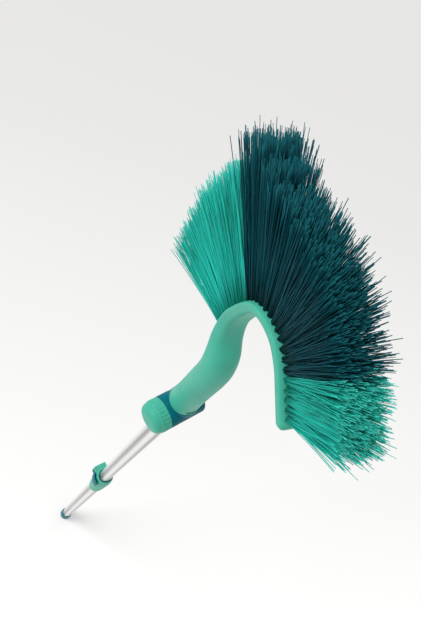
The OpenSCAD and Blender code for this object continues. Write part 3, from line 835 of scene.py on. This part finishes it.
# %% [markdown]
# The tree reads like this: copy each tuft point once for each thread, push the copies apart
# inside the hole, lean each one a little out of the tuft's own aim, and stand a thread on it
# whose length is the tuft's length less a random trim. Each copy leans partly the way it
# stands in the hole and partly astray. The thread itself is a three-sided column that thins
# towards the tip and bows sideways.

# %% Tree for the tufts
OWN_LEAN, STRAY_LEAN = 0.7, 0.8
TAPER, TRIM_BIAS = 0.3, 0.3
THIN, THICK = 0.82, 1.15


def live(sockets):
    """The one of a node's Value sockets that its settings leave in use."""
    return next(socket for socket in sockets if socket.name == "Value" and socket.enabled)


def tufts_tree():
    """The tree that grows threads on tuft points, and the identifiers of its inputs."""
    tree = bpy.data.node_groups.new("bristle tufts", "GeometryNodeTree")
    names = {}
    for name, kind in (("Tufts", "NodeSocketGeometry"), ("Threads", "NodeSocketInt"),
                       ("Hole Radius", "NodeSocketFloat"), ("Splay Across", "NodeSocketFloat"),
                       ("Splay Ahead", "NodeSocketFloat"),
                       ("Thread Radius", "NodeSocketFloat"), ("Trim", "NodeSocketFloat"),
                       ("Bow", "NodeSocketFloat"), ("Seed", "NodeSocketInt"),
                       ("Finish", "NodeSocketMaterial")):
        names[name] = tree.interface.new_socket(name, in_out="INPUT", socket_type=kind).identifier
    tree.interface.new_socket("Threads", in_out="OUTPUT", socket_type="NodeSocketGeometry")
    given = add(tree, "NodeGroupInput").outputs

    def chance(low, high, offset):
        seed = add(tree, "FunctionNodeIntegerMath", {0: given["Seed"], 1: offset}, operation="ADD")
        node = add(tree, "FunctionNodeRandomValue", {"Min": low, "Max": high}, data_type="FLOAT")
        tree.links.new(seed.outputs[0], node.inputs["Seed"])
        return live(node.outputs)

    def maths(operation, a, b=0.0):
        return add(tree, "ShaderNodeMath", {0: a, 1: b}, operation=operation).outputs[0]

    def scaled(vector, amount):
        return add(tree, "ShaderNodeVectorMath", {0: vector, "Scale": amount},
                   operation="SCALE").outputs[0]

    def summed(a, b):
        return add(tree, "ShaderNodeVectorMath", {0: a, 1: b}, operation="ADD").outputs[0]

    def read(name, kind):
        node = add(tree, "GeometryNodeInputNamedAttribute", data_type=kind)
        node.inputs["Name"].default_value = name
        return node.outputs["Attribute"]

    points = add(tree, "GeometryNodeMeshToPoints", {"Mesh": given["Tufts"]})
    copies = add(tree, "GeometryNodeDuplicateElements",
                 {"Geometry": points.outputs[0], "Amount": given["Threads"]}, domain="POINT")
    aim = read("aim", "FLOAT_VECTOR")
    ahead = read("ahead", "FLOAT_VECTOR")
    reach = read("reach", "FLOAT")
    turn = chance(0.0, 2 * math.pi, 1)
    spread = maths("POWER", chance(0.0, 1.0, 2), 0.5)
    across_share = maths("MULTIPLY", maths("COSINE", turn), spread)
    ahead_share = maths("MULTIPLY", maths("SINE", turn), spread)
    sideways = add(tree, "ShaderNodeCombineXYZ", {"Y": across_share}).outputs[0]
    in_hole = summed(scaled(sideways, given["Hole Radius"]),
                     scaled(ahead, maths("MULTIPLY", ahead_share, given["Hole Radius"])))
    moved = add(tree, "GeometryNodeSetPosition",
                {"Geometry": copies.outputs["Geometry"], "Offset": in_hole})
    lean_across = maths("ADD", maths("MULTIPLY", across_share, OWN_LEAN),
                        chance(-STRAY_LEAN, STRAY_LEAN, 3))
    lean_ahead = maths("ADD", maths("MULTIPLY", ahead_share, OWN_LEAN),
                       chance(-STRAY_LEAN, STRAY_LEAN, 4))
    lean_across = maths("MULTIPLY", lean_across, given["Splay Across"])
    lean = summed(add(tree, "ShaderNodeCombineXYZ", {"Y": lean_across}).outputs[0],
                  scaled(ahead, maths("MULTIPLY", lean_ahead, given["Splay Ahead"])))
    direction = summed(aim, lean)
    twist = add(tree, "ShaderNodeCombineXYZ", {"Z": chance(0.0, 2 * math.pi, 5)}).outputs[0]
    aimed = add(tree, "FunctionNodeAlignRotationToVector",
                {"Rotation": twist, "Vector": direction}, axis="Z")
    trimmed = maths("MULTIPLY", given["Trim"], maths("POWER", chance(0.0, 1.0, 6), TRIM_BIAS))
    length = maths("MULTIPLY", reach, maths("SUBTRACT", 1.0, trimmed))
    girth = maths("MULTIPLY", given["Thread Radius"], chance(THIN, THICK, 7))
    size = add(tree, "ShaderNodeCombineXYZ", {"X": girth, "Y": girth, "Z": length}).outputs[0]

    column = add(tree, "GeometryNodeMeshCylinder",
                 {"Vertices": 3, "Side Segments": 4, "Radius": 1.0, "Depth": 1.0})
    place = add(tree, "ShaderNodeSeparateXYZ",
                {0: add(tree, "GeometryNodeInputPosition").outputs[0]}).outputs
    rise = maths("ADD", place["Z"], 0.5)
    thin = maths("SUBTRACT", 1.0, maths("MULTIPLY", rise, TAPER))
    bowed = maths("ADD", maths("MULTIPLY", place["X"], thin),
                  maths("MULTIPLY", maths("POWER", rise, 2.0), given["Bow"]))
    shaped = add(tree, "ShaderNodeCombineXYZ",
                 {"X": bowed, "Y": maths("MULTIPLY", place["Y"], thin), "Z": rise}).outputs[0]
    thread = add(tree, "GeometryNodeSetPosition",
                 {"Geometry": column.outputs["Mesh"], "Position": shaped})
    marked = add(tree, "GeometryNodeStoreNamedAttribute",
                 {"Geometry": thread.outputs[0], "Name": "along"},
                 data_type="FLOAT", domain="POINT")
    height = add(tree, "ShaderNodeSeparateXYZ",
                 {0: add(tree, "GeometryNodeInputPosition").outputs[0]}).outputs["Z"]
    tree.links.new(height, live(marked.inputs))

    stood = add(tree, "GeometryNodeInstanceOnPoints",
                {"Points": moved.outputs[0], "Instance": marked.outputs[0],
                 "Rotation": aimed.outputs[0], "Scale": size})
    batch = add(tree, "GeometryNodeStoreNamedAttribute",
                {"Geometry": stood.outputs[0], "Name": "shade"},
                data_type="FLOAT", domain="INSTANCE")
    tree.links.new(chance(0.0, 1.0, 8), live(batch.inputs))
    real = add(tree, "GeometryNodeRealizeInstances", {"Geometry": batch.outputs[0]})
    soft = add(tree, "GeometryNodeSetShadeSmooth", {"Geometry": real.outputs[0]})
    faced = add(tree, "GeometryNodeSetMaterial",
                {"Geometry": soft.outputs[0], "Material": given["Finish"]})
    add(tree, "NodeGroupOutput", {0: faced.outputs[0]})
    return tree, names


tuft_tree, tuft_inputs = tufts_tree()
print("nodes in the tuft tree:", len(tuft_tree.nodes))

# %% [markdown]
# The brush has three stretches: light green next to the neck, dark petrol over the crown
# and the front, and light green again towards the blunt end. The same tree makes them all.

# %% Bristles
CROWN_FROM, END_FROM = 10, 22


def stretch(name, first, last, seed, finish, slot, *groups):
    """Tufts number first up to last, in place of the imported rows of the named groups."""
    mesh = grown(name, tuft_points(name, first, last), tuft_tree, tuft_inputs,
                 {"Threads": 60, "Hole Radius": 2.0 * MM, "Splay Across": 0.045,
                  "Splay Ahead": 0.085, "Thread Radius": 0.36 * MM, "Trim": 0.13,
                  "Bow": 7.0, "Seed": seed, "Finish": finish})
    replaced = [f"bristles_{group}_row_{row + 1}" for group in groups for row in range(ROWS)]
    print(facts(piece(name, mesh, finish, "head", slot, *replaced)))


stretch("neck_bristles", 0, CROWN_FROM, 11, green_bristle, "green_bristle", "neck")
stretch("crown_bristles", CROWN_FROM, END_FROM, 23, petrol_bristle, "petrol_bristle",
        "crown", "front")
stretch("end_bristles", END_FROM, TUFTS, 37, green_bristle, "green_bristle", "end")

# %% [markdown]
# ## Small parts from the frame
# The liner, bush, pin, tongue, bolt, washer and nut have the right shape already. They are
# small or hidden, so they stay as they are and only get their finish.

# %% Finishes for the small parts
small_parts = {"clamp_liner": petrol, "guide_bush": petrol, "tube_knuckle": dark_teal,
               "lever_pin": steel, "pivot_bolt": steel, "knob_washer": steel, "knob_nut": steel}
for name, finish in small_parts.items():
    for material_slot in cad_nodes[name].material_slots:
        material_slot.material = finish
print("small parts finished:", len(small_parts))

# %% [markdown]
# ## Floor and light
# The brush stands over a pale floor that runs from white at the near side to a light warm
# grey behind the head, and back to white far away, so that no edge shows against the sky.
# Only rays from the lens, or by way of a mirror or glass, see the extra glow that makes it so
# pale, so the brush itself isn't flooded. The light is a wide soft sun from the upper left, a
# weak one from the right and an even sky, strong enough together that a colour renders
# about as it is written.

# %% Floor
FLOOR_HALF, FLOOR_GAP = 12, 0.0002
FADE_FAR, FADE_NEAR, FADE_SLANT = -7.0, 0.1, -0.45
floor_z = round(cad_box[0][2], 4) - FLOOR_GAP
floor_mesh = bpy.data.meshes.new("floor")
floor_mesh.from_pydata([(x * FLOOR_HALF, y * FLOOR_HALF, floor_z)
                        for x, y in ((-1, -1), (1, -1), (1, 1), (-1, 1))], [], [(0, 1, 2, 3)])
floor = shown("floor", floor_mesh)
floor_paint, tree, shader = blank("pale floor")
place = add(tree, "ShaderNodeTexCoord").outputs["Object"]
near = add(tree, "ShaderNodeVectorMath", {0: place, 1: (1, FADE_SLANT, 0)},
           operation="DOT_PRODUCT")
fade = add(tree, "ShaderNodeMapRange",
           {"Value": near.outputs["Value"], "From Min": FADE_FAR, "From Max": FADE_NEAR})
glow_stops = [(0.0, 0.32), (0.58, 0.08), (0.7, 0.08), (0.8, 0.11), (0.88, 0.18), (0.94, 0.24),
              (1.0, 0.32)]
glow = grade(tree, fade.outputs["Result"], [(stop, (grey,) * 3) for stop, grey in glow_stops])
shader.inputs["Base Color"].default_value = (0.76, 0.757, 0.75, 1)
shader.inputs["Roughness"].default_value = 0.9
shader.inputs["Specular IOR Level"].default_value = 0.0
path = add(tree, "ShaderNodeLightPath").outputs
seen = add(tree, "ShaderNodeMath", {0: path["Is Camera Ray"], 1: path["Is Glossy Ray"]},
           operation="MAXIMUM")
seen = add(tree, "ShaderNodeMath", {0: seen.outputs[0], 1: path["Is Transmission Ray"]},
           operation="MAXIMUM")
lit = add(tree, "ShaderNodeEmission", {"Color": glow, "Strength": seen.outputs[0]})
both = add(tree, "ShaderNodeAddShader", {0: shader.outputs[0], 1: lit.outputs[0]})
tree.links.new(both.outputs[0], tree.nodes["Material Output"].inputs["Surface"])
floor_mesh.materials.append(floor_paint)
floor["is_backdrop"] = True
print("floor at", round(floor_z / MM, 1), "mm")

# %% Light
world = bpy.data.worlds.new("studio")
bpy.context.scene.world = world
world.use_nodes = True
tree = world.node_tree
even = tree.nodes["Background"]
even.inputs["Color"].default_value = (1.0, 0.995, 0.985, 1)
even.inputs["Strength"].default_value = 0.46
paper = add(tree, "ShaderNodeBackground", {"Color": (1, 1, 1, 1), "Strength": 1.0})
path = add(tree, "ShaderNodeLightPath").outputs
both = add(tree, "ShaderNodeMixShader",
           {0: path["Is Camera Ray"], 1: even.outputs[0], 2: paper.outputs[0]})
tree.links.new(both.outputs[0], tree.nodes["World Output"].inputs["Surface"])


def sun(name, towards, strength, softness):
    """A sun that shines from a direction, with its softness as an angle in degrees."""
    lamp = bpy.data.lights.new(name, "SUN")
    lamp.energy = strength
    lamp.angle = math.radians(softness)
    made = shown(name, lamp)
    made.rotation_euler = Vector(towards).to_track_quat("Z", "Y").to_euler()
    return made


key = sun("key", (-0.29, -0.58, 0.76), 1.85, 30)
fill = sun("fill", (-0.5, 0.7, 0.4), 0.25, 60)
print("light: key", round(key.data.energy, 2), "fill", round(fill.data.energy, 2))

# %% [markdown]
# ## Sizes
# The dressed brush keeps to the imported model's box, apart from some bristle tips that pass it
# by a few millimetres. Both boxes are printed.

# %% Print the sizes
seen_box = [list(corner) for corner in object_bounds()]
print("frame:", [[round(v, 4) for v in corner] for corner in cad_box])
print("dressed:", [[round(v, 4) for v in corner] for corner in seen_box])
